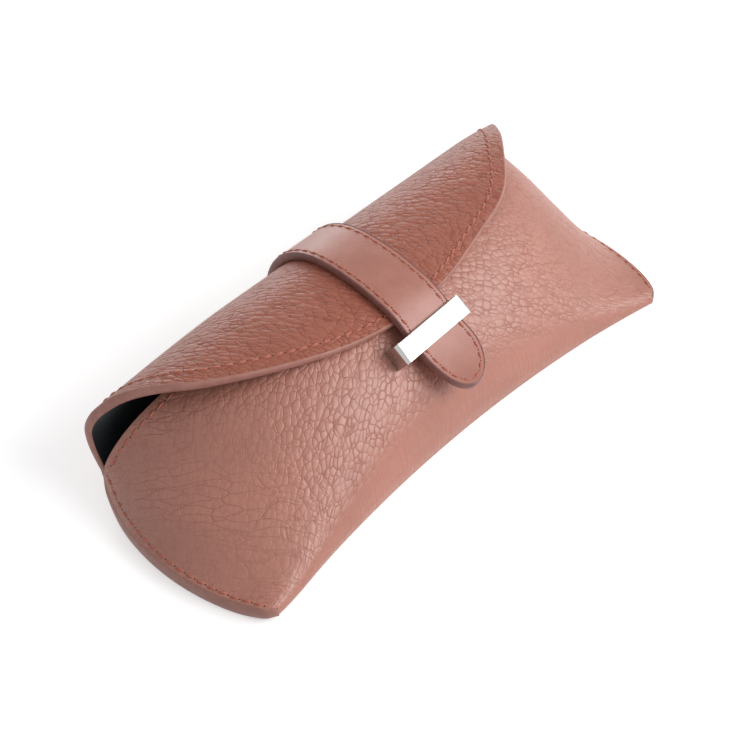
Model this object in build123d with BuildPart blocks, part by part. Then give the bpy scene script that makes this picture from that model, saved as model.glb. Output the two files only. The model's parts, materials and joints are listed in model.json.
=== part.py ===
import os
from math import asin, atan, atan2, cos, degrees, radians, sin, sqrt

from build123d import *

os.makedirs("parts", exist_ok=True)

# Millimetres. X runs along the case, +Y points from the bottom fold to the roll, +Z is up.
# The back panel lies on the table, z = 0.

# Pouch outline, seen from above
corner_half = 75.5      # half the distance between the two bottom corners, and half the roll
corner_y = -34.5        # the bottom corners
mouth_y = 25.4          # the top ends of the side seams
seam_bulge = 7.1        # how far a side seam bows out between its ends
fold_hollow = 7.4       # how far the bottom fold bows in at the middle
mouth_hollow = 14.2     # how far the mouth edge bows in at the middle
flange = 4.0            # stitched width of a side seam

# Side view: a half round roll, then a longer arc down over the front
roll_y = 11.8
roll_radius = 20.1
flap_radius = 47.0
front_reach = 48.0      # from the top of the front panel to where it would meet the table
front_power = 2.3       # higher is fuller over the front
roundness = 3.3         # higher is a flatter front panel with steeper ends
crease_radius = 5.0     # between the front panel and the bottom face

# Layers of a panel
leather = 1.2
board = 0.7
lining = 0.6
lie_gap = 0.5           # between the flap and the front panel that it lies on

# Flap
flap_tip_y = -10.8      # the lowest point of the flap's edge
flap_tip_radius = 93.7
flap_slant = 38.0       # degrees, the straight parts of the flap's edge
flap_corner_radius = 8.0
hinge_angle = -32.0     # degrees round the roll, the line that the flap bends about
hinge_gap = 1.8         # bare stretch of the panel below the bend

# Strap
strap_width = 15.8
strap_leather_thick = 1.0
strap_core_thick = 0.3
strap_backing_thick = 0.9
strap_gap = 0.3
strap_dip = 50.0        # degrees, its slope just past the flap's edge
strap_flare = 45.0      # radius of the arc that lifts the tongue off the front panel
strap_end_angle = -14.0  # degrees round the roll, the sewn end
tongue_past_bar = 16.0
tongue_corner = 6.5
scarf_y = 2.0           # where the free part of the strap parts from the sewn part
scarf_slope = 45.0      # degrees, the cut between the two
scarf_gap = 0.3

# Loop
loop_y = -14.2          # the foot of the loop on the front panel
loop_length = 24.9
bar_width = 5.2
bar_thick = 1.2
loop_clearance = 0.3
loop_corner = 2.6
slot_clearance = 0.15
plate_length = 31.0
plate_width = 7.6
plate_corner = 1.5
plate_thick = 0.3
plate_depth = 0.12      # below the inner face of the leather
plate_clearance = 0.1

# Stitching
thread = 0.28           # radius
thread_proud = 0.1      # how far a stitch stands out of the leather
needle_clearance = 0.05
stitch_pitch = 3.2
stitch_length = 2.3
seam_stitch_in = 2.1
edge_stitch_in = 2.6
strap_stitch_in = 1.4
row_end_in = 3.0        # how far a row stops short of a corner
scarf_stitch_in = 4.0   # how far the strap's rows stop short of the scarf
anchor_in = 2.0         # the first of the two rows across the sewn end
anchor_apart = 6.0

panel = leather + board + lining
strap_thick = strap_leather_thick + strap_core_thick + strap_backing_thick
flap_top = 2 * roll_radius
front_top = flap_top - panel - lie_gap
beyond = 100.0          # clear of everything that is being cut


def bow_radius(half_chord, rise):
    return (half_chord**2 + rise**2) / (2 * rise)


seam_radius = bow_radius((mouth_y - corner_y) / 2, seam_bulge)
seam_mid_y = (mouth_y + corner_y) / 2
fold_radius = bow_radius(corner_half, fold_hollow)
fold_y = corner_y + fold_hollow
mouth_radius = bow_radius(corner_half, mouth_hollow)


def seam_x(y):
    """Half the length of the pouch at a given y."""
    return corner_half + seam_bulge - seam_radius + sqrt(seam_radius**2 - (y - seam_mid_y) ** 2)


def front_height(y, depth=0):
    """Height of the front panel along its middle, at a given depth into the panel."""
    reach = max(roll_y - y, 0) / (front_reach - depth)
    return (front_top - depth) * (1 - reach**front_power)


def front_slope(y):
    """Degrees that the middle of the front panel falls towards the fold."""
    reach = (roll_y - y) / front_reach
    return degrees(atan(front_top * front_power / front_reach * reach ** (front_power - 1)))


def front_z(x, y):
    """Height of the front panel's outer face anywhere."""
    across = min(abs(x) / (seam_x(y) - flange), 1)
    return front_height(y) * sqrt(1 - across**roundness)


def flap_z(y):
    """Height of the flap's outer face."""
    if y > roll_y:
        return roll_radius + sqrt(roll_radius**2 - (y - roll_y) ** 2)
    return flap_top - flap_radius + sqrt(flap_radius**2 - (roll_y - y) ** 2)


def mouth_edge_y(x):
    return mouth_y - mouth_hollow + mouth_radius - sqrt(mouth_radius**2 - x**2)


def roll_point(angle, depth):
    """A point of the roll in side view, as (y, z)."""
    r = roll_radius - depth
    return roll_y + r * cos(radians(angle)), roll_radius + r * sin(radians(angle))


def flap_point(angle, depth):
    """A point of the long arc in side view, as (y, z). Angle 0 is its top."""
    r = flap_radius - depth
    return roll_y - r * sin(radians(angle)), flap_top - flap_radius + r * cos(radians(angle))


hinge_gap_angle = degrees(hinge_gap / (roll_radius - panel / 2))
case_end_angle = hinge_angle - hinge_gap_angle
tip_angle = degrees(asin((roll_y - flap_tip_y) / flap_radius))
flap_cut_angle = 1.6 * tip_angle


def back_face(outer, inner, end_angle):
    """Side view of one layer of the back panel, flat and then curled up to end_angle."""
    with BuildSketch() as face:
        with BuildLine():
            start = corner_y - flange
            Line((start, inner), (start, outer))
            Line((start, outer), (roll_y, outer))
            CenterArc((roll_y, roll_radius), roll_radius - outer, -90, end_angle + 90)
            Line(roll_point(end_angle, outer), roll_point(end_angle, inner))
            CenterArc((roll_y, roll_radius), roll_radius - inner, -90, end_angle + 90)
            Line((roll_y, inner), (start, inner))
        make_face()
    return face.sketch


def flap_face(outer, inner, start_angle, end_angle):
    """Side view of one layer that goes round the roll and down over the front."""
    with BuildSketch() as face:
        with BuildLine():
            centre = (roll_y, roll_radius)
            low = (roll_y, flap_top - flap_radius)
            Line(roll_point(start_angle, inner), roll_point(start_angle, outer))
            CenterArc(centre, roll_radius - outer, start_angle, 90 - start_angle)
            CenterArc(low, flap_radius - outer, 90, end_angle)
            Line(flap_point(end_angle, outer), flap_point(end_angle, inner))
            CenterArc(low, flap_radius - inner, 90, end_angle)
            CenterArc(centre, roll_radius - inner, start_angle, 90 - start_angle)
        make_face()
    return face.sketch


def plan_of_pouch(inset_side, inset_fold):
    """The pouch seen from above; past the mouth it runs on at one length, as the roll does."""
    half_chord = (mouth_y - corner_y) / 2
    radius = seam_radius - inset_side
    centre_x = corner_half + seam_bulge - seam_radius
    turn = degrees(asin(half_chord / radius))
    end_x = centre_x + radius * cos(radians(turn))
    with BuildSketch() as plan:
        with BuildLine():
            Line((-end_x, corner_y), (end_x, corner_y))
            CenterArc((centre_x, seam_mid_y), radius, -turn, 2 * turn)
            Polyline((end_x, mouth_y), (end_x, beyond), (-end_x, beyond), (-end_x, mouth_y))
            CenterArc((-centre_x, seam_mid_y), radius, 180 - turn, 2 * turn)
        make_face()
        with Locations((0, corner_y + fold_hollow - fold_radius)):
            Circle(fold_radius + inset_fold, mode=Mode.SUBTRACT)
    return plan.sketch


def inside_back(depth):
    """The space within the back panel and the roll, from a given depth in."""
    with BuildPart() as space:
        with BuildSketch(Plane.YZ):
            with Locations((roll_y, roll_radius)):
                Circle(roll_radius - depth)
            with Locations((roll_y - beyond / 2, depth + beyond / 2)):
                Rectangle(beyond, beyond)
        extrude(amount=beyond, both=True)
    return space.part


def pillow(depth):
    """The rounded front panel as a solid, reduced by a given depth all over."""
    sections = 7
    points = 15
    low_y = corner_y + depth
    with BuildPart() as body:
        for i in range(sections):
            y = low_y + (mouth_y + 1 - low_y) * i / (sections - 1)
            across = seam_x(y) - flange - depth
            up = front_height(y, depth)
            with BuildSketch(Plane.XZ.offset(-y)):
                with BuildLine():
                    turn = [radians(-90 + 180 * k / (points - 1)) for k in range(points)]
                    arch = [(across * (1 if t > 0 else -1) * abs(sin(t)) ** (2 / roundness),
                             up * cos(t)) for t in turn]
                    Spline(*arch)
                    Line(arch[-1], arch[0])
                make_face()
        loft()
        with BuildSketch(Plane.XY.offset(-1)):
            with Locations((0, corner_y + fold_hollow - fold_radius)):
                Circle(fold_radius + depth)
        extrude(amount=beyond, mode=Mode.SUBTRACT)
        crease = body.edges().filter_by(lambda e: e.length > corner_half).group_by(Axis.Z)[-1].sort_by(Axis.Y)[0]
        fillet(crease, crease_radius - depth)
    return body.part


def plate_pocket():
    """Room for the loop's plate between the layers of the front panel."""
    with BuildPart() as pocket:
        with BuildSketch(plate_plane.offset(-plate_clearance)):
            Rectangle(plate_length + 2 * plate_clearance, plate_width + 2 * plate_clearance)
        extrude(amount=plate_thick + 2 * plate_clearance)
    return pocket.part


def mouth_trim():
    """What lies beyond the mouth edge of the front panel."""
    with BuildPart() as trim:
        with BuildSketch(Plane.XY.offset(-1)):
            with Locations((0, mouth_y - mouth_hollow + mouth_radius)):
                Circle(mouth_radius)
            with Locations((0, mouth_y + beyond / 2)):
                Rectangle(2 * beyond, beyond)
        extrude(amount=beyond)
    return trim.part


def seam_band(outer, inner, depth, fold):
    """One layer of both seam flanges; it runs in under the foot of the front panel."""
    with BuildPart() as band:
        with BuildSketch(Plane.YZ):
            add(back_face(outer, inner, case_end_angle))
        extrude(amount=beyond, both=True)
        with BuildSketch():
            add(plan_of_pouch(0, fold))
            add(plan_of_pouch(flange + depth, fold), mode=Mode.SUBTRACT)
        extrude(amount=beyond, mode=Mode.INTERSECT)
        add(mouth_trim(), mode=Mode.SUBTRACT)
    return band.part


def flap_edge_y(x):
    """Where the lower edge of the flap lies, seen from above."""
    bend = flap_tip_radius * sin(radians(flap_slant))
    if abs(x) < bend:
        return flap_tip_y + flap_tip_radius - sqrt(flap_tip_radius**2 - x**2)
    at_bend = flap_tip_y + flap_tip_radius * (1 - cos(radians(flap_slant)))
    return at_bend + (abs(x) - bend) * sin(radians(flap_slant)) / cos(radians(flap_slant))


def plan_of_flap():
    """The flap seen from above, as wide as the roll."""
    bend = flap_tip_radius * sin(radians(flap_slant))
    side = flap_edge_y(corner_half)
    with BuildSketch() as plan:
        with BuildLine():
            CenterArc((0, flap_tip_y + flap_tip_radius), flap_tip_radius, 270 - flap_slant, 2 * flap_slant)
            Polyline((bend, flap_edge_y(bend)), (corner_half, side), (corner_half, beyond),
                     (-corner_half, beyond), (-corner_half, side), (-bend, flap_edge_y(bend)))
        make_face()
        fillet(plan.vertices().filter_by(lambda v: abs(v.X) > corner_half - 1 and v.Y < beyond / 2),
               flap_corner_radius)
    return plan.sketch


# The strap dips about the flap's edge, then follows an arc whose centre is out in front of the case.
# The tongue slides through the loop along that arc.
edge_y, edge_z = flap_point(tip_angle, 0)
flare_y = edge_y - strap_flare * sin(radians(strap_dip))
flare_z = edge_z + strap_flare * cos(radians(strap_dip))
loop_z = front_z(0, loop_y)
loop_slope = degrees(atan2(loop_y - flare_y, flare_z - loop_z))
loop_reach = sqrt((loop_y - flare_y) ** 2 + (flare_z - loop_z) ** 2)
loop_height = loop_reach - strap_flare + strap_gap + strap_thick + loop_clearance + bar_thick
edge_to_loop = strap_flare * radians(strap_dip - loop_slope)
strap_run = edge_to_loop + bar_width / 2 + tongue_past_bar
tongue_slope = strap_dip - degrees(strap_run / strap_flare)
leg_depth = leather + plate_depth + plate_thick


def side_on(y, z, slope):
    """A plane with its origin at (y, z) that slopes down towards the front of the case."""
    return Plane(origin=(0, y, z), x_dir=(1, 0, 0), z_dir=(0, -sin(radians(slope)), cos(radians(slope))))


loop_plane = side_on(loop_y, loop_z, loop_slope)
loop_section = Plane(origin=loop_plane.origin, x_dir=(1, 0, 0), z_dir=-loop_plane.y_dir)
plate_plane = side_on(loop_y, loop_z, front_slope(loop_y)).offset(-leg_depth)


def flare_point(slope, h):
    """A point of the flared arc in side view, where the strap has the given slope."""
    r = strap_flare - h
    return flare_y + r * sin(radians(slope)), flare_z - r * cos(radians(slope))


def strap_spot(along, h):
    """A point of the strap in side view: along is measured from its tip, h from the flap's face."""
    if along <= strap_run:
        return flare_point(tongue_slope + degrees(along / strap_flare), h)
    angle = tip_angle - degrees((along - strap_run) / flap_radius)
    if angle >= 0:
        return flap_point(angle, -h)
    rest = along - strap_run - radians(tip_angle) * flap_radius
    return roll_point(90 - degrees(rest / roll_radius), -h)


def strap_face(low, high):
    """Side view of one layer of the strap, between two heights above the flap."""
    with BuildSketch() as face:
        with BuildLine():
            for h in (low, high):
                CenterArc((roll_y, roll_radius), roll_radius + h, strap_end_angle, 90 - strap_end_angle)
                CenterArc((roll_y, flap_top - flap_radius), flap_radius + h, 90, tip_angle)
                if h > 0:
                    CenterArc((edge_y, edge_z), h, 90 + tip_angle, strap_dip - tip_angle)
                CenterArc((flare_y, flare_z), strap_flare - h, tongue_slope - 90, strap_dip - tongue_slope)
            Line(strap_spot(0, low), strap_spot(0, high))
            Line(roll_point(strap_end_angle, -low), roll_point(strap_end_angle, -high))
        make_face()
    return face.sketch


scarf_angle = degrees(asin((roll_y - scarf_y) / flap_radius))
scarf_along = strap_run + radians(tip_angle - scarf_angle) * flap_radius
strap_length = strap_run + radians(tip_angle) * flap_radius + radians(90 - strap_end_angle) * roll_radius


def strap_layer(low, high, free):
    """One layer of the strap's free part or of its sewn part, each side of the scarf."""
    scarf = side_on(*strap_spot(scarf_along, strap_gap + strap_thick / 2), scarf_slope)
    with BuildPart() as layer:
        with BuildSketch(Plane.YZ):
            add(strap_face(low, high))
        extrude(amount=strap_width / 2, both=True)
        with BuildSketch(side_on(*strap_spot(0, 0), tongue_slope)) as outline:
            with Locations((0, beyond / 2)):
                Rectangle(strap_width, beyond)
            fillet(outline.vertices().group_by(Axis.Y)[0], tongue_corner)
        extrude(amount=beyond, both=True, mode=Mode.INTERSECT)
        with BuildSketch(scarf.offset(scarf_gap / 2 if free else -scarf_gap / 2)):
            Rectangle(2 * beyond, 2 * beyond)
        extrude(amount=beyond if free else -beyond, mode=Mode.INTERSECT)
    return layer.part


def sewn(curve, start, end):
    """The plane where each stitch of a row starts. curve gives the point at any value."""
    steps = 3000
    holes = [Vector(curve(start))]
    for k in range(1, steps + 1):
        spot = Vector(curve(start + (end - start) * k / steps))
        if (spot - holes[-1]).length >= stitch_pitch:
            holes.append(spot)
    lead = (stitch_pitch - stitch_length) / 2
    return [Plane(origin=a + (b - a).normalized() * lead, z_dir=b - a) for a, b in zip(holes, holes[1:])]


def stitches(rows, radius, extra):
    """Short rods of thread, or the slots that they lie in when extra is more than zero."""
    with BuildPart() as rods:
        for place in rows:
            with BuildSketch(place.offset(-extra)):
                Circle(radius)
        extrude(amount=stitch_length + 2 * extra)
    return rods.part


def seam_curve(side):
    depth = panel + lining + leather - thread + thread_proud
    inner = roll_radius - depth

    def point(y):
        rise = inner - sqrt(inner**2 - max(y - roll_y, 0) ** 2)
        return side * (seam_x(y) - seam_stitch_in), y, depth + rise
    return point


def mouth_curve(x):
    y = mouth_edge_y(x) - edge_stitch_in
    slope = (front_z(x + 0.1, y) - front_z(x - 0.1, y)) / 0.2
    return x, y, front_z(x, y) - (thread - thread_proud) * sqrt(1 + slope**2)


def flap_curve(x):
    y = flap_edge_y(x) + edge_stitch_in
    return x, y, flap_z(y) - thread + thread_proud


def strap_curve(d):
    """A row round the tongue; d is the distance from the middle of its tip."""
    half = strap_width / 2 - strap_stitch_in
    corner = tongue_corner - strap_stitch_in
    flat = half - corner
    turn = corner * radians(90)
    side = 1 if d > 0 else -1
    far = abs(d)
    if far < flat:
        x, along = far, strap_stitch_in
    elif far < flat + turn:
        angle = (far - flat) / corner
        x, along = flat + corner * sin(angle), strap_stitch_in + corner * (1 - cos(angle))
    else:
        x, along = half, strap_stitch_in + corner + far - flat - turn
    y, z = strap_spot(along, strap_gap + strap_thick - thread + thread_proud)
    return side * x, y, z


def across_curve(along):
    y, z = strap_spot(along, strap_gap + strap_thick - thread + thread_proud)
    return lambda x: (x, y, z)


def row_distance(along):
    """The distance that strap_curve needs to reach a place on the strap's straight sides."""
    corner = tongue_corner - strap_stitch_in
    return along - tongue_corner + strap_width / 2 - tongue_corner + corner * radians(90)


side_rows = strap_width / 2 - strap_stitch_in
free_end = row_distance(scarf_along - scarf_stitch_in)
base_start = row_distance(scarf_along + scarf_stitch_in)
base_end = row_distance(strap_length - anchor_in - anchor_apart)
mouth_row_end = corner_half - 2 * flange
flap_row_end = corner_half - 2 * edge_stitch_in

seam_rows = {side: sewn(seam_curve(side), corner_y + row_end_in, mouth_y - row_end_in) for side in (-1, 1)}
mouth_rows = sewn(mouth_curve, -mouth_row_end, mouth_row_end)
flap_rows = sewn(flap_curve, -flap_row_end, flap_row_end)
free_rows = sewn(strap_curve, -free_end, free_end)
base_rows = sewn(strap_curve, base_start, base_end) + sewn(strap_curve, -base_start, -base_end)
anchor_rows = [place for along in (strap_length - anchor_in, strap_length - anchor_in - anchor_apart)
               for place in sewn(across_curve(along), -side_rows, side_rows)]

back_depths = {
    "back_leather": (0, leather, 0),
    "back_board": (leather, leather + board, leather),
    "back_lining": (leather + board, panel, leather),
}
for name, (outer, inner, fold) in back_depths.items():
    with BuildPart() as back_layer:
        with BuildSketch(Plane.YZ):
            add(back_face(outer, inner, case_end_angle))
        extrude(amount=beyond, both=True)
        with BuildSketch(Plane.XY.offset(-1)):
            add(plan_of_pouch(0, fold))
        extrude(amount=beyond, mode=Mode.INTERSECT)
    back_layer.part.label = name
    export_step(back_layer.part, f"parts/{name}.step")

seam_under = panel + lining

with BuildPart() as front_leather:
    add(pillow(0))
    add(pillow(leather), mode=Mode.SUBTRACT)
    add(inside_back(seam_under), mode=Mode.INTERSECT)
    with BuildSketch(Plane.XY.offset(leather)):
        add(plan_of_pouch(0, 0))
        add(plan_of_pouch(0, leather), mode=Mode.SUBTRACT)
    extrude(amount=seam_under - leather)
    add(seam_band(seam_under, seam_under + leather, leather, 0))
    add(mouth_trim(), mode=Mode.SUBTRACT)
    add(stitches(seam_rows[-1] + seam_rows[1] + mouth_rows, thread + needle_clearance,
                 needle_clearance), mode=Mode.SUBTRACT)
    with BuildSketch(loop_plane):
        with Locations((-(loop_length - bar_thick) / 2, 0), ((loop_length - bar_thick) / 2, 0)):
            Rectangle(bar_thick + 2 * slot_clearance, bar_width + 2 * slot_clearance)
    extrude(amount=2 * leather, both=True, mode=Mode.SUBTRACT)
    add(plate_pocket(), mode=Mode.SUBTRACT)
front_leather.part.label = "front_leather"
export_step(front_leather.part, "parts/front_leather.step")

with BuildPart() as front_board:
    add(pillow(leather))
    add(pillow(leather + board), mode=Mode.SUBTRACT)
    add(inside_back(seam_under), mode=Mode.INTERSECT)
    add(mouth_trim(), mode=Mode.SUBTRACT)
    with BuildSketch(plate_plane):
        Rectangle(plate_length + 2 * plate_clearance, plate_width + 2 * plate_clearance)
    extrude(amount=panel, both=True, mode=Mode.SUBTRACT)
front_board.part.label = "front_board"
export_step(front_board.part, "parts/front_board.step")

with BuildPart() as front_lining:
    add(pillow(leather + board))
    add(pillow(panel), mode=Mode.SUBTRACT)
    add(inside_back(panel), mode=Mode.INTERSECT)
    add(seam_band(panel, seam_under, panel, leather))
    add(mouth_trim(), mode=Mode.SUBTRACT)
    add(plate_pocket(), mode=Mode.SUBTRACT)
front_lining.part.label = "front_lining"
export_step(front_lining.part, "parts/front_lining.step")

with BuildPart() as strap_loop:
    with BuildSketch(loop_section) as bar:
        with Locations((0, (loop_height - leg_depth) / 2)):
            Rectangle(loop_length, loop_height + leg_depth)
        fillet(bar.vertices().group_by(Axis.Y)[-1], loop_corner)
        with BuildSketch(mode=Mode.SUBTRACT) as gap:
            with Locations((0, (loop_height - bar_thick - leg_depth) / 2)):
                Rectangle(loop_length - 2 * bar_thick, loop_height - bar_thick + leg_depth)
            fillet(gap.vertices().group_by(Axis.Y)[-1], loop_corner - bar_thick)
    extrude(amount=bar_width / 2, both=True)
strap_loop.part.label = "strap_loop"
export_step(strap_loop.part, "parts/strap_loop.step")

with BuildPart() as loop_plate:
    with BuildSketch(plate_plane) as plate:
        Rectangle(plate_length, plate_width)
        fillet(plate.vertices(), plate_corner)
    extrude(amount=plate_thick)
    add(strap_loop.part, mode=Mode.SUBTRACT)
loop_plate.part.label = "loop_plate"
export_step(loop_plate.part, "parts/loop_plate.step")

for side, name in ((-1, "seam_thread_left"), (1, "seam_thread_right")):
    seam_thread = stitches(seam_rows[side], thread, 0)
    seam_thread.label = name
    export_step(seam_thread, f"parts/{name}.step")

mouth_thread = stitches(mouth_rows, thread, 0)
mouth_thread.label = "mouth_thread"
export_step(mouth_thread, "parts/mouth_thread.step")

flap_depths = {
    "flap_leather": (0, leather),
    "flap_board": (leather, leather + board),
    "flap_lining": (leather + board, panel),
}
for name, (outer, inner) in flap_depths.items():
    with BuildPart() as flap_layer:
        with BuildSketch(Plane.YZ):
            add(flap_face(outer, inner, hinge_angle, flap_cut_angle))
        extrude(amount=beyond, both=True)
        with BuildSketch():
            add(plan_of_flap())
        extrude(amount=beyond, mode=Mode.INTERSECT)
        if name == "flap_leather":
            add(stitches(flap_rows, thread + needle_clearance, needle_clearance), mode=Mode.SUBTRACT)
    flap_layer.part.label = name
    export_step(flap_layer.part, f"parts/{name}.step")

flap_thread = stitches(flap_rows, thread, 0)
flap_thread.label = "flap_thread"
export_step(flap_thread, "parts/flap_thread.step")

core_low = strap_gap + strap_backing_thick
core_high = core_low + strap_core_thick
strap_top = strap_gap + strap_thick
strap_layers = {
    "strap_backing": (strap_gap, core_low, True, []),
    "strap_core": (core_low, core_high, True, []),
    "strap_leather": (core_high, strap_top, True, free_rows),
    "strap_base_backing": (0, core_low, False, []),
    "strap_base_core": (core_low, core_high, False, []),
    "strap_base_leather": (core_high, strap_top, False, base_rows + anchor_rows),
}
for name, (low, high, free, rows) in strap_layers.items():
    with BuildPart() as strip:
        add(strap_layer(low, high, free))
        if rows:
            add(stitches(rows, thread + needle_clearance, needle_clearance), mode=Mode.SUBTRACT)
    strip.part.label = name
    export_step(strip.part, f"parts/{name}.step")

for name, rows in (("strap_thread", free_rows), ("strap_base_thread", base_rows),
                   ("anchor_thread", anchor_rows)):
    strap_row = stitches(rows, thread, 0)
    strap_row.label = name
    export_step(strap_row, f"parts/{name}.step")
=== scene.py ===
# %% [markdown]
# # A leather spectacle case
#
# A padded pouch lies on its back. Its back panel curls up into a roll, and the roll runs on as a
# flap that comes down over the pouch's mouth. A strap sewn to the flap tucks under a metal loop.
# The CAD frame gives the plain solids and the moving bodies. This lesson dresses them: each leather
# panel is a sheet laid over a curved form, with its painted edge, its lining and its stitches.

import json
from math import asin, atan2, cos, pi, radians, sin, sqrt, tan

import bpy
import numpy as np
from mathutils import Matrix, Vector

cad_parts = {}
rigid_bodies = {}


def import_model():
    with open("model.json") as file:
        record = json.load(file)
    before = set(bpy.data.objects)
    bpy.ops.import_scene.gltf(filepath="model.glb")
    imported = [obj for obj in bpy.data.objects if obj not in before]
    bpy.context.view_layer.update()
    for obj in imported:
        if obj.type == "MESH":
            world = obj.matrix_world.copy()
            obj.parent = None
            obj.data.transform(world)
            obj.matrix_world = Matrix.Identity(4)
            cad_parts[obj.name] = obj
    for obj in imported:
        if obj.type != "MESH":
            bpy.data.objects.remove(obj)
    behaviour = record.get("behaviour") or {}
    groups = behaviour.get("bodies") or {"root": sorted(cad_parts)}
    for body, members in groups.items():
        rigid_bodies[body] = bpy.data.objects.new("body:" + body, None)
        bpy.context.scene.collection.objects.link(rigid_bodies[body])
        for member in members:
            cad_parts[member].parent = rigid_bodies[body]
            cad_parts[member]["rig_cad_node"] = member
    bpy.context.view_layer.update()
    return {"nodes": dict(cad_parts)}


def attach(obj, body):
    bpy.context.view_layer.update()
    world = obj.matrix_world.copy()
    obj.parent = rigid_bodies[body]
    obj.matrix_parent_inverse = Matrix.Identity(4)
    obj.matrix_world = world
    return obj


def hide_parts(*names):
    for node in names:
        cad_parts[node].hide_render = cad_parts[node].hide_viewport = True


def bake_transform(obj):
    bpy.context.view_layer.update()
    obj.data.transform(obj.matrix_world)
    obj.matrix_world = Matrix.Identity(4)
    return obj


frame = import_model()
MM = 0.001

# %% [markdown]
# ## The sizes
#
# Shapes that must meet are easiest to keep together when they read the same few numbers. These
# are the case's own sizes in millimetres: its outline seen from above, its side view, the sheets,
# and how the soft leather strays from the true form. Each mesh is scaled to metres as it is made.

# %% Sizes
corner_half, corner_y, mouth_y = 75.5, -34.5, 25.4
seam_bulge, fold_hollow, mouth_hollow, corner_round = 7.1, 7.4, 14.2, 3.0
roll_y, roll_radius, flap_radius = 11.8, 20.1, 47.0
front_reach, front_power = 48.0, 2.3
leather, lining = 1.2, 1.3
panel = leather + lining
seam_stack, mouth_stack = 4.3, 2.3
flap_top = 2 * roll_radius
front_top = flap_top - panel - 0.5
tip_y, tip_radius, flap_slant = -10.8, 93.7, 38.0
left_corner, right_corner = 20.0, 9.0
left_sag, left_sag_from, right_sag, right_sag_from = 4.0, 30.0, 1.8, 58.0
left_draw, corner_curl, curl_reach = 1.5, 1.8, 13.0
left_fullness, right_fullness, fold_flatness = 2.25, 6.65, 2.4
left_steepness, right_steepness, fold_steepness = 0.76, 0.73, 1.4


def bow_radius(half_chord, rise):
    """Radius of an arc from half its chord and its rise."""
    return (half_chord**2 + rise**2) / (2 * rise)


seam_radius = bow_radius((mouth_y - corner_y) / 2, seam_bulge)
seam_mid_y = (mouth_y + corner_y) / 2
fold_radius = bow_radius(corner_half, fold_hollow)
mouth_radius = bow_radius(corner_half, mouth_hollow)
print("seam radius", round(seam_radius, 1), "fold radius", round(fold_radius, 1))

# %% [markdown]
# ## The outline of the pouch
#
# Seen from above, the side seams bow out, the bottom fold bows in, and the two bottom corners are
# rounded where the sheet is folded and trimmed. Numpy arrays let one formula answer for every
# point of a sheet at once.


# %% Outline
def seam_x(y):
    """Half the length of the pouch at y, with the bottom corners rounded off."""
    bow = corner_half + seam_bulge - seam_radius + np.sqrt(
        np.maximum(seam_radius**2 - (y - seam_mid_y) ** 2, 1))
    t = np.clip((y - corner_y) / corner_round, 0, 1)
    bow = bow - corner_round * (1 - np.sqrt(1 - (1 - t) ** 2))
    return np.where(y > mouth_y, corner_half, bow)


def fold_y(x):
    return corner_y + fold_hollow - fold_radius + np.sqrt(fold_radius**2 - x**2)


def mouth_edge_y(x):
    return mouth_y - mouth_hollow + mouth_radius - np.sqrt(mouth_radius**2 - x**2)


def meet(share, line, low, high):
    """Where each lengthwise share of the pouch meets a line y = line(x). Found by halving."""
    low, high = np.full_like(share, low), np.full_like(share, high)
    for _ in range(40):
        y = (low + high) / 2
        short = y < line(share * seam_x(y))
        low, high = np.where(short, y, low), np.where(short, high, y)
    return (low + high) / 2


def fold_at(shares):
    return meet(shares, fold_y, corner_y - 1, -15.0)


def mouth_at(shares):
    return meet(shares, mouth_edge_y, 0.0, 30.0)


print("length", 2 * float(seam_x(np.array(seam_mid_y))), "depth at the middle", mouth_y - fold_y(0.0))


# %% [markdown]
# ## The form of the front panel
#
# The front panel is padded, so it stands up like a loaf that thins out towards the seams and the
# bottom fold. Its section at each y starts from the seam's height and rises with the curve
# (1 - a**p)**k, where a is the share of the half length. A large p keeps the top flat far out; a
# small k makes the end steep. Near the bottom the section is gentle. At the mouth it is full, and
# on this case the right end is stuffed fuller than the left, so p and k change from end to end.


# %% Front form
def front_height(y):
    reach = np.maximum(roll_y - y, 0) / front_reach
    return front_top * (1 - reach**front_power)


def seam_z(y):
    """Height of the seam's upper face; it follows the back panel where that curls up."""
    near_mouth = np.clip((y - 6) / (mouth_y - 6), 0, 1)
    near_fold = np.clip(1 - (y - corner_y) / 8, 0, 1)
    inner = roll_radius - seam_stack + (seam_stack - mouth_stack) * near_mouth**2 + 1.7 * near_fold**2
    return roll_radius - np.sqrt(inner**2 - np.clip(y - roll_y, 0, inner - 1) ** 2)


def front_z(x, y):
    up = np.clip((y - corner_y) / (mouth_y - corner_y), 0, 1) ** 1.6
    right = np.clip(x / 60 + 0.5, 0, 1)
    flatness = fold_flatness * (left_fullness + (right_fullness - left_fullness) * right) ** up
    steepness = left_steepness + (right_steepness - left_steepness) * right
    steepness = fold_steepness + (steepness - fold_steepness) * up
    across = np.clip(np.abs(x) / seam_x(y), 0, 1)
    low = seam_z(y)
    return low + np.maximum(front_height(y) - low, 0) * (1 - across**flatness) ** steepness


print("front stands", round(float(front_height(mouth_edge_y(0.0))), 1), "mm high at its mouth and",
      round(float(front_height(fold_y(0.0))), 1), "mm at the fold")

# %% [markdown]
# ## The form of the back, the roll and the flap
#
# These three are one sheet in side view: flat on the table, half round the roll, then a long arc
# down over the front. One running length, q, follows that line. It is zero where the roll starts.


# %% Back form
roll_end = pi * roll_radius


def back_line(q, depth=0.0):
    """A point of the side view as (y, z) at running length q, a given depth in."""
    turn = np.clip(q, 0, roll_end) / roll_radius - pi / 2
    down = np.maximum(q - roll_end, 0) / flap_radius
    r, f = roll_radius - depth, flap_radius - depth
    y = roll_y + np.minimum(q, 0) + r * np.cos(turn) - f * np.sin(down)
    z = roll_radius + r * np.sin(turn) + f * (np.cos(down) - 1)
    return y, z


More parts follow.
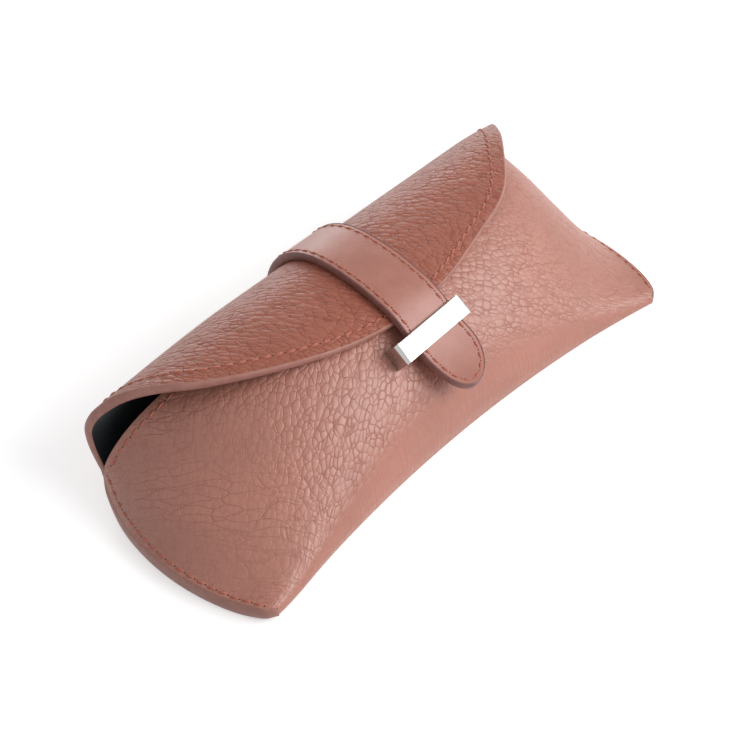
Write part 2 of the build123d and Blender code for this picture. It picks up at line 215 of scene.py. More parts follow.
def length_at(y):
    """Running length of the place on top of the flap that is seen at y."""
    on_roll = roll_radius * (pi / 2 + np.arccos(np.clip((y - roll_y) / roll_radius, 0, 1)))
    on_arc = roll_end + flap_radius * np.arcsin(np.clip((roll_y - y) / flap_radius, 0, 0.99))
    return np.where(y > roll_y, on_roll, on_arc)


def flap_edge(x):
    """Running length at the flap's lower edge: an arc, two straight sides, two rounded ends. On the
    right the edge bulges a little past the true line, as it does on the well-used case."""
    corner = np.where(x < 0, left_corner, right_corner)
    half = np.where(x < 0, corner_half - left_draw, corner_half)
    bend = tip_radius * sin(radians(flap_slant))
    ax = np.minimum(np.abs(x), corner_half)
    arc = tip_y + tip_radius - np.sqrt(np.maximum(tip_radius**2 - np.minimum(ax, bend) ** 2, 0))
    y = arc + np.maximum(ax - bend, 0) * tan(radians(flap_slant))
    near_end = np.clip(ax - half + corner, 0, corner)
    bulge = 3.1 * np.exp(-(((x - 49) / 13) ** 2)) - 1.2 * np.exp(-(((x - 70) / 4) ** 2))
    return length_at(y) - (corner - np.sqrt(corner**2 - near_end**2)) + bulge


def slump(points):
    """Soft leather strays from the true form: the roll sags at its ends, a bottom corner curls up."""
    x, y, z = points[..., 0], points[..., 1], points[..., 2]
    right = np.clip((x - right_sag_from) / (corner_half - right_sag_from), 0, 1) ** 2
    left = np.clip((-x - left_sag_from) / (corner_half - left_sag_from), 0, 1) ** 1.5
    sag = right_sag * right * np.clip((z - 15) / 20, 0, 1)
    sag = sag + left_sag * left * np.clip((z - 12) / 20, 0, 1)
    curl = corner_curl * np.clip(1 - np.hypot(x + corner_half, y - corner_y) / curl_reach, 0, 1) ** 2
    return np.stack([x, y, z - sag + curl], -1)


print("flap edge runs from", round(float(flap_edge(np.array(0.0))), 1), "to",
      round(float(flap_edge(np.array(corner_half))), 1), "mm along the sheet")

# %% [markdown]
# ## Helpers for sheets
#
# A leather panel starts as a flat grid primitive. Its points are then laid on the form, row by
# row, as leather is laid over a last. The grid's own rows and columns also give a UV map in real
# metres, so the grain keeps its size on every panel. Solidify then gives the sheet its thickness
# towards the inside.


# %% Helpers to select, edit and finish a piece
def deselect():
    bpy.ops.object.select_all(action="DESELECT")


def select_only(piece):
    deselect()
    piece.select_set(True)
    bpy.context.view_layer.objects.active = piece


def edit_all(piece, *steps):
    """Runs mesh operators on the whole of a piece. Each step is (operator, its settings)."""
    select_only(piece)
    bpy.ops.object.mode_set(mode="EDIT")
    bpy.ops.mesh.select_all(action="SELECT")
    for operator, settings in steps:
        operator(**settings)
    bpy.ops.object.mode_set(mode="OBJECT")


def apply(piece, modifier):
    bpy.context.view_layer.objects.active = piece
    bpy.ops.object.modifier_apply(modifier=modifier.name)


def smooth(piece, angle=50):
    select_only(piece)
    bpy.ops.object.shade_smooth_by_angle(angle=radians(angle))
    return piece


# %% Sheet helpers
def unit(vectors):
    return vectors / np.maximum(np.linalg.norm(vectors, axis=-1, keepdims=True), 1e-9)


def run_along(points):
    """Length run from the first point, down the first axis of an array of points."""
    return np.cumsum(np.linalg.norm(np.diff(points, axis=0, prepend=points[:1]), axis=-1), axis=0)


def normals_of(points, out):
    """Unit normals of a grid of points, turned to the side that out says (+1 or -1)."""
    du, dv = np.gradient(points, axis=1), np.gradient(points, axis=0)
    return unit(np.cross(du, dv) * out)


def lay_grid(name, points, out=1):
    """A grid primitive with its vertices laid on points (rows, columns, 3), in millimetres. The UV
    map holds the true lengths along the rows, from the middle column, and along the columns.
    out is -1 where the faces have to be turned over to point outwards."""
    rows, cols = points.shape[:2]
    across, along = run_along(points.swapaxes(0, 1)).T, run_along(points)
    across = across - across[:, cols // 2][:, None]
    deselect()
    bpy.ops.mesh.primitive_grid_add(x_subdivisions=cols - 1, y_subdivisions=rows - 1, size=2)
    piece = bpy.context.object
    piece.name = piece.data.name = name
    mesh = piece.data
    flat = np.zeros(len(mesh.vertices) * 3)
    mesh.vertices.foreach_get("co", flat)
    flat = flat.reshape(-1, 3)
    col = np.rint((flat[:, 0] + 1) / 2 * (cols - 1)).astype(int)
    row = np.rint((flat[:, 1] + 1) / 2 * (rows - 1)).astype(int)
    mesh.vertices.foreach_set("co", (points[row, col] * MM).ravel())
    loops = np.zeros(len(mesh.loops), int)
    mesh.loops.foreach_get("vertex_index", loops)
    spots = np.stack([across[row, col][loops], along[row, col][loops]], 1) * MM
    mesh.uv_layers[0].name = "Leather"
    mesh.uv_layers["Leather"].data.foreach_set("uv", spots.ravel())
    if out < 0:
        edit_all(piece, (bpy.ops.mesh.flip_normals, {}))
    mesh.update()
    return piece


def sheet(name, points, thickness, out=1):
    """A smooth sheet laid on points, with its thickness behind the side that its faces point to."""
    piece = lay_grid(name, points, out)
    solid = piece.modifiers.new("Thickness", "SOLIDIFY")
    solid.thickness, solid.offset = thickness * MM, -1
    apply(piece, solid)
    return smooth(piece)


def spread(count, crowd=1.0):
    """Values from -1 to 1, closer together towards both ends when crowd is over 1."""
    t = np.linspace(-1, 1, count)
    return np.sign(t) * (1 - (1 - np.abs(t)) ** crowd)


# %% [markdown]
# ## The front panel
#
# On the real case the front is one piece of leather with the back: it comes down over a soft
# crease, down the narrow bottom side, and folds under. Each column of the grid follows that path.
# The crease and the fold are drawn as short curves, so they stay round at any height. The lining
# lies a leather's thickness inside, slopes down behind the bottom side, and ends on the back.


# %% Front panel points
def bezier(a, b, c, t):
    return a * (1 - t) ** 2 + 2 * b * t * (1 - t) + c * t**2


def front_points(shares, front_rows, crease_reach=6.0, foot=2.0):
    """Points of the front panel from its mouth edge to the fold under the bottom."""
    top_y, end_y = mouth_at(shares), fold_at(shares)
    end_z = front_z(shares * seam_x(end_y), end_y)
    crease = np.minimum(crease_reach, 0.62 * end_z)
    rows = []
    for t in np.linspace(0, 1, front_rows):
        y = top_y + (end_y + crease - top_y) * t
        x = shares * seam_x(y)
        rows.append((x, y, front_z(x, y)))
    x0, y0, z0 = rows[-1]
    x1 = shares * seam_x(end_y)
    drop = np.minimum(crease, 0.45 * end_z)
    for t in np.linspace(0, 1, 12)[1:]:
        rows.append((x0 + (x1 - x0) * t, bezier(y0, end_y, end_y, t),
                     bezier(z0, end_z, end_z - drop, t)))
    low_z = np.minimum(0.3 * end_z, foot)
    wall = end_z - drop - low_z
    for t in np.linspace(0, 1, 10)[1:]:
        bulge = 0.5 * np.sin(pi * t) * np.minimum(wall / 8, 1)
        rows.append((x1, end_y - bulge, end_z - drop - wall * t))
    for t in np.linspace(0, 1, 6)[1:]:
        rows.append((x1, bezier(end_y, end_y, end_y + foot, t), bezier(low_z, 0 * low_z, 0 * low_z, t)))
    return slump(np.stack([np.stack(r, -1) for r in rows], 0))


def inside_points(shares, count, inset=2.2):
    """Points of the front lining's face against the leather, down to the fold at the bottom."""
    top_y, end_y = mouth_at(shares) - 0.3, fold_at(shares) + inset
    rows = []
    for t in np.linspace(0, 1, count):
        y = top_y + (end_y - top_y) * (1 - (1 - t) ** 1.4)
        x = shares * (seam_x(y) - inset)
        rows.append(np.stack([x, y, front_z(x, y)], -1))
    outer = np.stack(rows, 0)
    inner = outer - normals_of(outer, -1) * leather
    inner[..., 2] = np.maximum(inner[..., 2], seam_z(inner[..., 1]) - leather)
    wall_y, foot_z = end_y - 0.85, np.full_like(end_y, leather + 0.05)
    wall_top = foot_z + (inner[-1, :, 2] - foot_z) * 0.5
    wall_x = shares * (seam_x(wall_y) - inset)
    fifths = np.linspace(0, 1, 5)
    wall = [np.stack([wall_x, wall_y, wall_top + (foot_z - wall_top) * t], -1) for t in fifths]
    slope = [inner[-1] + (wall[0] - inner[-1]) * t for t in fifths[1:-1]]
    return slump(np.concatenate([inner, slope, wall]))


front_grid = front_points(spread(221, 1.5), 70)
front_out = normals_of(front_grid, -1)
print("front panel grid", front_grid.shape, "height", round(float(front_grid[..., 2].max()), 1), "mm")

# %% Front panel
front_leather = sheet("front_leather_sheet", front_grid, leather, -1)
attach(front_leather, "case")
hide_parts("front_leather", "front_board")
front_lining = sheet("front_lining_sheet", inside_points(spread(141, 1.5), 60), lining, -1)
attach(front_lining, "case")
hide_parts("front_lining")
print("front panel", len(front_leather.data.polygons), "faces, lining", len(front_lining.data.polygons))

# %% [markdown]
# ## The back, the roll and the flap
#
# This sheet crosses the place where the flap bends. The rows run straight along the roll, then
# fan out towards the curved edge of the flap, so the edge needs no trimming.


# %% Back and flap points
def back_points(shares, low_rows, high_rows, depth=0.0, inset=0.0, fan_from=30.0):
    """Points of the sheet at a depth under its face; inset keeps a lining back from its edges.
    The rows fan out beyond the running length fan_from."""
    start = fold_at(shares) + 2.0 + inset - roll_y
    rows = []
    for t in np.linspace(0, 1, low_rows):
        q = start + (fan_from - start) * t
        y, z = back_line(q, depth)
        z = np.where(q < 0, depth, z)
        drawn = np.where(shares < 0, left_draw, 0) * np.clip((q - mouth_y + roll_y) / 5, 0, 1)
        low_x = seam_x(np.where(q < mouth_y - roll_y, back_line(q)[0], mouth_y + 1)) - inset
        rows.append((shares * (low_x - drawn), y, z))
    x = shares * (corner_half - inset - np.where(shares < 0, left_draw, 0))
    end = flap_edge(x) - inset
    for t in np.linspace(0, 1, high_rows)[1:]:
        y, z = back_line(fan_from + (end - fan_from) * t, depth)
        rows.append((x, y, z))
    return slump(np.stack([np.stack(r, -1) for r in rows], 0))


back_grid = back_points(spread(201, 1.6), 80, 66)
back_under = back_points(spread(201, 1.6), 80, 66, panel)
print("back and flap grid", back_grid.shape)

# %% Back and flap
back_leather = sheet("back_and_flap_leather", back_grid, leather, -1)
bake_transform(back_leather)
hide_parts("back_leather", "flap_leather", "back_board", "flap_board")
lining_grid = back_points(spread(121, 1.6), 50, 40, leather, 0.3)
back_lining = sheet("back_and_flap_lining", lining_grid, lining, -1)
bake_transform(back_lining)
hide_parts("back_lining", "flap_lining")
print("back and flap", len(back_leather.data.polygons), "faces, lining", len(back_lining.data.polygons))

# %% [markdown]
# ## Painted edges
#
# Where layers of leather are cut, the maker sands the edge round and fills it with edge paint. It
# shows as a thin bead in a shade of its own. Each bead here is a strip swept along a pair of
# lines, the top and the bottom of the cut. The strip is a grid too: its columns follow the edge
# and its rows go round a half ellipse and back through the leather, where the first and last row
# are merged.


# %% Edge bead helper
def edge_bead(name, tops, bottoms, inner, bulge):
    """A bead along an edge. inner holds points just inside the sheet, to tell which way is out. The
    bulge eases off over the first and last 3 mm, so the bead's ends are as thin as the sheet's."""
    along = np.gradient(tops, axis=0)
    up = tops - bottoms
    high = np.linalg.norm(up, axis=1)[:, None]
    up = up / high
    out = unit(np.cross(along, up))
    out = out * np.sign(np.sum(out * (tops - inner)))
    middle = (tops + bottoms) / 2
    run = run_along(tops)
    bulge = bulge * np.sqrt(np.clip(np.minimum(run, run[-1] - run) / 3, 0.05, 1))[:, None]
    ring = [middle - out * 0.7 + up * (high / 2 - 0.25)]
    for a in np.radians(np.linspace(90, -90, 9)):
        ring.append(middle + out * (bulge * cos(a) - 0.12) + up * (high / 2 + 0.05) * sin(a))
    ring.append(middle - out * 0.7 - up * (high / 2 - 0.25))
    ring.append(ring[0])
    bead = lay_grid(name, np.stack(ring, 0))
    edit_all(bead, (bpy.ops.mesh.remove_doubles, {"threshold": 1e-6}),
             (bpy.ops.mesh.fill_holes, {"sides": 0}),
             (bpy.ops.mesh.normals_make_consistent, {"inside": False}))
    return smooth(bead, 60)


# %% Beads on the pouch
def seam_edge(side):
    """Top line, bottom line and a line just inside, along one side seam."""
    start = float(fold_at(np.array([1.0]))[0]) + (0.2 if side > 0 else 0)
    y = start + (mouth_y - start) * (1 - spread(90, 1.4)) / 2
    x = side * seam_x(y)
    low_z = roll_radius - np.sqrt(roll_radius**2 - np.clip(y - roll_y, 0, 19) ** 2)
    top, low = slump(np.stack([x, y, seam_z(y)], 1)), slump(np.stack([x, y, low_z], 1))
    return top, low, top - np.array([side * 2.0, 0, 0])


for side, word in ((-1, "left"), (1, "right")):
    bead = edge_bead(f"seam_edge_{word}", *seam_edge(side), 0.55)
    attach(bead, "case")
mouth_top = front_grid[0]
mouth_bead = edge_bead("mouth_edge", mouth_top, mouth_top - front_out[0] * panel, front_grid[1], 0.5)
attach(mouth_bead, "case")
print("pouch beads made")

# %% Bead on the flap
end_rows = back_grid[:, -1][np.where(back_grid[:, -1, 2] > 5.5)[0][0] - 1:-1]
first = len(back_grid) - 1 - len(end_rows)


def flap_border(grid, step):
    """A line round the flap's edge: up the left end, along the lower edge, down the right end."""
    left, right = grid[first:-1, step], grid[first:-1, -1 - step]
    return np.concatenate([left, grid[-1 - step], right[::-1]])


flap_bead = edge_bead("flap_edge", flap_border(back_grid, 0), flap_border(back_under, 0),
                      flap_border(back_grid, 1), 0.55)
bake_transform(flap_bead)
print("flap bead", len(flap_bead.data.polygons), "faces")

# %% [markdown]
# ## Stitches
#
# The case is sewn with a thick waxed thread. Each stitch shows as a short raised bar with its two
# ends sunk in needle holes. One stitch is modelled from a small sphere, stretched and bowed. Its
# points are then copied along each seam line, and a dark dimple is set at each hole: painted shade
# in the hole.


# %% Stitch helpers
def small_shape(rings, scale, bow):
    """Points and faces of a small sphere, scaled in millimetres and bowed down at its ends."""
    deselect()
    bpy.ops.mesh.primitive_uv_sphere_add(segments=8, ring_count=rings, radius=1)
    shape = bpy.context.object
    points = np.array([v.co for v in shape.data.vertices]) * scale
    points[:, 2] -= bow * (points[:, 0] / scale[0]) ** 2
    faces = [tuple(p.vertices) for p in shape.data.polygons]
    bpy.data.objects.remove(shape)
    return points, faces


def sew(name, shape, places):
    """One mesh with a copy of shape at each place: (centre, along, up)."""
    points, faces = shape
    verts, polys = [], []
    for centre, along, up in places:
        side = np.cross(up, along)
        base = len(verts)
        verts.extend((centre + np.outer(points[:, 0], along) + np.outer(points[:, 1], side)
                      + np.outer(points[:, 2], up)) * MM)
        polys.extend(tuple(base + i for i in f) for f in faces)
    mesh = bpy.data.meshes.new(name)
    mesh.from_pydata([tuple(v) for v in verts], [], polys)
    mesh.update()
    piece = bpy.data.objects.new(name, mesh)
    bpy.context.collection.objects.link(piece)
    mesh.shade_smooth()
    return piece


stitch_length, stitch_pitch, stitch_slant, stitch_lift = 2.8, 3.1, 0.14, 0.04
stitch_shape = small_shape(5, (stitch_length / 2, 0.38, 0.32), 0.3)
hole_shape = small_shape(4, (0.24, 0.21, 0.09), 0.0)
print("one stitch has", len(stitch_shape[1]), "faces")


# %% Places along a seam
def row_places(line, count=600):
    """Stitch and hole places along a line. line(t) gives (point, up) arrays for t from 0 to 1."""
    points, ups = line(np.linspace(0, 1, count))
    run = run_along(points)
    number = int(run[-1] / stitch_pitch)
    pitch = run[-1] / number

    def at(length):
        point = np.array([np.interp(length, run, points[:, k]) for k in range(3)])
        up = np.array([np.interp(length, run, ups[:, k]) for k in range(3)])
        return point, unit(up)

    stitches, holes = [], []
    for k in range(number):
        a, up_a = at(k * pitch)
        b, up_b = at((k + 1) * pitch)
        along, up = unit(b - a), up_a + up_b
        up = unit(up - along * np.dot(up, along))
        along = unit(along + np.cross(up, along) * stitch_slant)
        stitches.append((at((k + 0.5) * pitch)[0] + up * stitch_lift, along, up))
        holes.append((a, along, up))
    return stitches, holes + [(b, along, up)]


# %% Seam lines
def form_up(place, a, b, step=0.05):
    """Point and upward normal of a form place(a, b), by small steps both ways."""
    point = place(a, b)
    da = place(a + step, b) - place(a - step, b)
    db = place(a, b + step) - place(a, b - step)
    return point, unit(np.cross(da, db))


def on_front(x, y):
    return slump(np.stack([x, y, front_z(x, y)], 1))


def on_flap(x, q):
    y, z = back_line(q)
    return slump(np.stack([x, y, z], 1))


seam_in, mouth_in, edge_in = 1.0, 2.0, 2.6


def seam_row(side):
    def line(t):
        y = corner_y + 3.0 + (mouth_y - corner_y - 3.2 - mouth_in) * t
        return form_up(on_front, side * (seam_x(y) - seam_in), y)
    return line


def mouth_row(t):
    x = (2 * t - 1) * (corner_half - seam_in - 0.2)
    return form_up(on_front, x, mouth_edge_y(x) - mouth_in)


def flap_row(t):
    reach = corner_half - edge_in
    x = (2 * t - 1) * reach
    edge_x = x * corner_half / reach
    slope = np.clip((flap_edge(edge_x + 0.2) - flap_edge(edge_x - 0.2)) / 0.4, -2.5, 2.5)
    q = flap_edge(edge_x) - edge_in * np.minimum(np.sqrt(1 + slope**2), 1.4)
    point, up = form_up(on_flap, x, q)
    return point, -up


print("middle of the mouth row", np.round(mouth_row(np.array([0.5]))[0][0], 1), "mm")

# %% Sew the pouch and the flap
rows = {"seam_thread_left": (seam_row(-1), "case"), "seam_thread_right": (seam_row(1), "case"),
        "mouth_thread": (mouth_row, "case"), "flap_thread": (flap_row, "flap")}
needle_holes = []
for name, (line, body) in rows.items():
    stitches, holes = row_places(line)
    thread_row = sew(name + "_row", stitch_shape, stitches)
    hole_row = sew(name + "_holes", hole_shape, holes)
    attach(thread_row, body)
    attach(hole_row, body)
    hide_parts(name)
    needle_holes.append(hole_row)
    print(name, len(stitches), "stitches")

# %% [markdown]
# ## The strap
#
# The strap is two layers of smooth leather with a stiffener between, sewn round its border. It
# lies over the roll, dips past the flap's edge, and its tongue passes under the loop with a slight
# upward flare. Its path is one function of the distance from the tip, the same arcs as the frame.

# %% Strap path
strap_half, strap_thick, strap_gap, strap_tip, strap_stray = 7.9, 2.2, 0.3, 12.5, 3.0
strap_dip, strap_flare, strap_end_angle = 50.0, 45.0, -14.0
loop_y, loop_length, bar_width, bar_thick, tongue_past_bar = -14.2, 24.9, 5.6, 1.2, 15.7
tip_angle = asin((roll_y - tip_y) / flap_radius)
edge_y, edge_z = roll_y - flap_radius * sin(tip_angle), flap_top + flap_radius * (cos(tip_angle) - 1)
flare_y = edge_y - strap_flare * sin(radians(strap_dip))
flare_z = edge_z + strap_flare * cos(radians(strap_dip))
loop_z = float(front_height(loop_y))
loop_slope = atan2(loop_y - flare_y, flare_z - loop_z)
loop_lift = sqrt((loop_y - flare_y) ** 2 + (flare_z - loop_z) ** 2) - strap_flare
loop_height = loop_lift + strap_gap + strap_thick + 0.3 + bar_thick
strap_run = strap_flare * (radians(strap_dip) - loop_slope) + bar_width / 2 + tongue_past_bar
tongue_slope = radians(strap_dip) - strap_run / strap_flare
strap_length = strap_run + tip_angle * flap_radius + radians(90 - strap_end_angle) * roll_radius


def strap_arcs(along, h):
    """The strap's three arcs: distance from the tip, and height over the flap's face."""
    flare = tongue_slope + np.minimum(along, strap_run) / strap_flare
    arc = tip_angle - (along - strap_run) / flap_radius
    turn = pi / 2 - (along - strap_run - tip_angle * flap_radius) / roll_radius
    y = np.where(along < strap_run, flare_y + (strap_flare - h) * np.sin(flare),
                 np.where(arc > 0, roll_y - (flap_radius + h) * np.sin(arc),
                          roll_y + (roll_radius + h) * np.cos(turn)))
    z = np.where(along < strap_run, flare_z - (strap_flare - h) * np.cos(flare),
                 np.where(arc > 0, flap_top - flap_radius + (flap_radius + h) * np.cos(arc),
                          roll_radius + (roll_radius + h) * np.sin(turn)))
    return y, z


def strap_line(along, h):
    """The arcs, eased over a few millimetres so that the strap bends softly past the flap's edge."""
    along = np.asarray(along, float)
    eased = [strap_arcs(along + d, h) for d in (-2.8, -1.4, 0.0, 1.4, 2.8)]
    return sum(e[0] for e in eased) / 5, sum(e[1] for e in eased) / 5


def strap_half_at(along):
    """Half the strap's width; the tongue ends in half an ellipse."""
    t = np.clip(1 - along / strap_tip, 0, 1)
    return strap_half * np.sqrt(1 - t**2)


def strap_middle(along):
    """How far the strap's middle line strays sideways: it lies askew, and its tip is cut uneven."""
    askew = strap_stray * np.clip(1 - along / 60, 0, 1) ** 2
    return askew - 2.6 * np.clip(1 - along / strap_tip, 0, 1) ** 2


print("strap", round(strap_length, 1), "mm long; loop stands", round(loop_height, 2), "mm")


# %% Strap meshes
def strap_points(h, shares, crown):
    """A layer of the strap as rows from the tip to the sewn end; crown lifts its middle."""
    near = strap_tip * (1 - np.cos(np.linspace(0, pi / 2, 20))) + 0.001
    far = np.linspace(strap_tip, strap_length, 120)[1:]
    rows = []
    for along in np.concatenate([near, far]):
        half = float(strap_half_at(along))
        rise = h + crown * (1 - np.abs(shares) ** 4)
        y, z = strap_line(np.full_like(shares, along), rise)
        rows.append(np.stack([shares * half + strap_middle(along), y, z], 1))
    return np.stack(rows, 0)


top_grid = strap_points(strap_gap + strap_thick - 0.12, spread(25, 1.3), 0.16)
strap_top = sheet("strap_leather_sheet", top_grid, 1.2)
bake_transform(strap_top)
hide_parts("strap_leather", "strap_core", "strap_base_leather", "strap_base_core")
back_of_strap = strap_points(strap_gap, spread(25, 1.3)[::-1], 0.0)
strap_back = sheet("strap_backing_sheet", back_of_strap, 0.9)
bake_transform(strap_back)
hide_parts("strap_backing", "strap_base_backing")
print("strap", len(strap_top.data.polygons) + len(strap_back.data.polygons), "faces")


# %% Strap edge
def around_strap(inset):
    """Distances and side positions round the strap's border, tip first on the left side."""
    angle = np.linspace(0, pi / 2, 24)
    side = np.linspace(strap_tip, strap_length - 0.2, 90)[1:]
    along = np.concatenate([side[::-1], strap_tip - (strap_tip - inset) * np.sin(angle)])
    x = np.concatenate([np.full(len(side), strap_half - inset), (strap_half - inset) * np.cos(angle)])
    return np.concatenate([along, along[-2::-1]]), np.concatenate([-x, x[-2::-1]])


def strap_place(x, along, h):
    y, z = strap_line(along, h)
    return np.stack([x + strap_middle(along), y, z], 1)


along, x = around_strap(0.0)
in_along, in_x = around_strap(1.5)
strap_face = strap_gap + strap_thick
strap_bead = edge_bead("strap_edge", strap_place(x, along, strap_face), strap_place(x, along, strap_gap),
                       strap_place(in_x, in_along, strap_face), 0.35)
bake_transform(strap_bead)
print("strap edge", len(strap_bead.data.polygons), "faces")


# %% Strap stitches
def strap_row(inset, h):
    def line(t):
        along, x = around_strap(inset)
        keep = along < strap_length - 2.2
        along, x = along[keep], x[keep]
        s = np.linspace(0, 1, len(along))
        along, x = np.interp(t, s, along), np.interp(t, s, x)
        point = strap_place(x, along, h)
        return point, strap_place(x, along, h + 1) - point
    return line


def anchor_row(distance):
    def line(t):
        x = (2 * t - 1) * (strap_half - 1.4)
        along = np.full_like(x, strap_length - distance)
        point = strap_place(x, along, strap_face + 0.03)
        return point, strap_place(x, along, strap_face + 1) - point
    return line


stitches, holes = row_places(strap_row(1.4, strap_face - 0.03), 2000)
strap_thread = sew("strap_thread_row", stitch_shape, stitches)
strap_holes = sew("strap_thread_holes", hole_shape, holes)
for piece in (strap_thread, strap_holes):
    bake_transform(piece)
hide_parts("strap_thread", "strap_base_thread")
anchor_stitches, anchor_holes = [], []
for distance in (2.0, 8.0):
    more, more_holes = row_places(anchor_row(distance))
    anchor_stitches += more
    anchor_holes += more_holes
anchor_thread = sew("anchor_thread_rows", stitch_shape, anchor_stitches)
anchor_hole_row = sew("anchor_thread_holes", hole_shape, anchor_holes)
for piece in (anchor_thread, anchor_hole_row):
    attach(piece, "flap")
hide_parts("anchor_thread")
needle_holes += [strap_holes, anchor_hole_row]
print("strap rows", len(stitches), "and", len(anchor_stitches), "stitches")

# %% [markdown]
# ## The loop
#
# The loop is a flat metal bar bent twice into a staple, polished like a mirror. By hand: a thin
# box is stretched to the length of the top, its two ends are extruded outwards and then down as
# legs, and its edges are bevelled. A wide bevel, set by edge weights, makes the bends; a fine one
# breaks the polished edges. The staple leans a little, as it does on the case.


# %% Loop bar
def loop_mesh():
    deselect()
    bpy.ops.mesh.primitive_cube_add(size=1)
    bar = bpy.context.object
    bar.name = bar.data.name = "strap_loop_bar"
    inner = loop_length - 2 * bar_thick
    bar.data.transform(Matrix.Diagonal((inner * MM, bar_width * MM, bar_thick * MM, 1)))
    bpy.ops.object.mode_set(mode="EDIT")
    for side in (-1, 1):
        for normal, move in (((side, 0, 0), (side * bar_thick * MM, 0, 0)),
                             ((0, 0, -1), (0, 0, -(loop_height + 0.6) * MM))):
            bpy.ops.mesh.select_all(action="DESELECT")
            bpy.ops.object.mode_set(mode="OBJECT")
            for face in bar.data.polygons:
                at_end = side * face.center.x > 0.99 * inner / 2 * MM
                face.select = at_end and (face.normal - Vector(normal)).length < 0.01
            bpy.ops.object.mode_set(mode="EDIT")
            bpy.ops.mesh.extrude_region_move(TRANSFORM_OT_translate={"value": move})
    bpy.ops.object.mode_set(mode="OBJECT")
    return bar


loop_bar = loop_mesh()
print("bent bar", len(loop_bar.data.vertices), "corners")

# %% Loop bends and rim
bends = loop_bar.modifiers.new("Bends", "BEVEL")
bends.width, bends.segments, bends.limit_method = 2.0 * MM, 8, "WEIGHT"
weights = loop_bar.data.attributes.new("bevel_weight_edge", "FLOAT", "EDGE")
for edge in loop_bar.data.edges:
    ends = [loop_bar.data.vertices[i].co for i in edge.vertices]
    across = abs(ends[0].y - ends[1].y) > 0.9 * bar_width * MM
    outer = all(abs(abs(e.x) - loop_length / 2 * MM) < 1e-5 and e.z > 0 for e in ends)
    weights.data[edge.index].value = 1.0 if across and outer else 0.0
    inner_bend = all(abs(abs(e.x) - (loop_length / 2 - bar_thick) * MM) < 1e-5
                     and abs(e.z + bar_thick / 2 * MM) < 1e-5 for e in ends)
    if across and inner_bend:
        weights.data[edge.index].value = 0.5
apply(loop_bar, bends)
rim = loop_bar.modifiers.new("Rim", "BEVEL")
rim.width, rim.segments, rim.limit_method, rim.angle_limit = 0.28 * MM, 4, "ANGLE", radians(50)
apply(loop_bar, rim)
stand = Matrix.Rotation(loop_slope, 3, "X") @ Vector((0, 0, loop_height - bar_thick / 2 + 0.1))
centre = Matrix.Translation((Vector((0, loop_y, loop_z)) + stand) * MM)
lean = Matrix.Rotation(loop_slope - radians(4), 4, "X") @ Matrix.Rotation(radians(2), 4, "Z")
loop_bar.data.transform(centre @ lean)
smooth(loop_bar, 35)
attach(loop_bar, "case")
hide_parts("strap_loop")
print("loop", len(loop_bar.data.polygons), "faces")

# %% [markdown]
# ## Helpers for nodes
#
# Materials repeat the same few nodes: noise, cells, a bump, a blend of two colours. One short
# function for each keeps a material readable, from its pattern at the top to its shader at the end.


# %% Node helpers
def node(tree, kind, inputs=None, **settings):
    """Adds a node, sets its properties, and sets or links its inputs by name or number."""
    made = tree.nodes.new(kind)
    for key, value in settings.items():
        setattr(made, key, value)
    for key, value in (inputs or {}).items():
        if isinstance(value, bpy.types.NodeSocket):
            tree.links.new(value, made.inputs[key])
        else:
            made.inputs[key].default_value = value
    return made


def math(tree, operation, a, b=0.0, c=0.0):
    return node(tree, "ShaderNodeMath", {0: a, 1: b, 2: c}, operation=operation).outputs[0]


def times(tree, a, b):
    return math(tree, "MULTIPLY", a, b)


def vector(tree, operation, a, b):
    """Vector arithmetic. b is a vector, or for SCALE a number."""
    key = "Scale" if operation == "SCALE" else 1
    return node(tree, "ShaderNodeVectorMath", {0: a, key: b}, operation=operation).outputs[0]


def mapped(tree, value, low, high, to_low=0.0, to_high=1.0, kind="SMOOTHSTEP"):
    return node(tree, "ShaderNodeMapRange", {0: value, 1: low, 2: high, 3: to_low, 4: to_high},
                interpolation_type=kind).outputs[0]


def mixed(tree, share, a, b):
    return node(tree, "ShaderNodeMix", {0: share, 2: a, 3: b}, data_type="FLOAT").outputs[0]


def blended(tree, share, a, b):
    """A colour between the colours a and b."""
    return node(tree, "ShaderNodeMix", {0: share, 6: a, 7: b}, data_type="RGBA").outputs[2]


def noise(tree, spot, scale, detail=2.0, output="Fac"):
    return node(tree, "ShaderNodeTexNoise",
                {"Vector": spot, "Scale": scale, "Detail": detail}).outputs[output]


def cell_edges(tree, spot, scale=1.0, randomness=1.0):
    """Distance to the nearest edge between Voronoi cells."""
    return node(tree, "ShaderNodeTexVoronoi", {"Vector": spot, "Scale": scale, "Randomness": randomness},
                feature="DISTANCE_TO_EDGE").outputs["Distance"]


def turn_by(tree, spot, angle):
    return node(tree, "ShaderNodeVectorRotate", {0: spot, "Angle": angle},
                rotation_type="Z_AXIS").outputs[0]


def stretch_by(tree, spot, scale):
    return node(tree, "ShaderNodeMapping", {"Vector": spot, "Scale": scale}).outputs[0]


def bumped(tree, height, strength, distance_mm):
    return node(tree, "ShaderNodeBump",
                {"Strength": strength, "Distance": distance_mm * MM, "Height": height}).outputs[0]


def leather_uv(tree):
    return node(tree, "ShaderNodeUVMap", uv_map="Leather").outputs[0]


def object_spot(tree):
    return node(tree, "ShaderNodeTexCoord").outputs["Object"]


# %% Material helpers
def material(name):
    made = bpy.data.materials.new(name)
    made.use_nodes = True
    made.node_tree.nodes.clear()
    return made, made.node_tree


def close(tree, shader):
    node(tree, "ShaderNodeOutputMaterial", {"Surface": shader.outputs[0]})


def principled(tree, base, roughness, normal, specular, more=None):
    """Closes a material with the principled shader; more holds any further inputs."""
    inputs = {"Base Color": base, "Roughness": roughness, "Specular IOR Level": specular}
    if normal is not None:
        inputs["Normal"] = normal
    close(tree, node(tree, "ShaderNodeBsdfPrincipled", {**inputs, **(more or {})}))


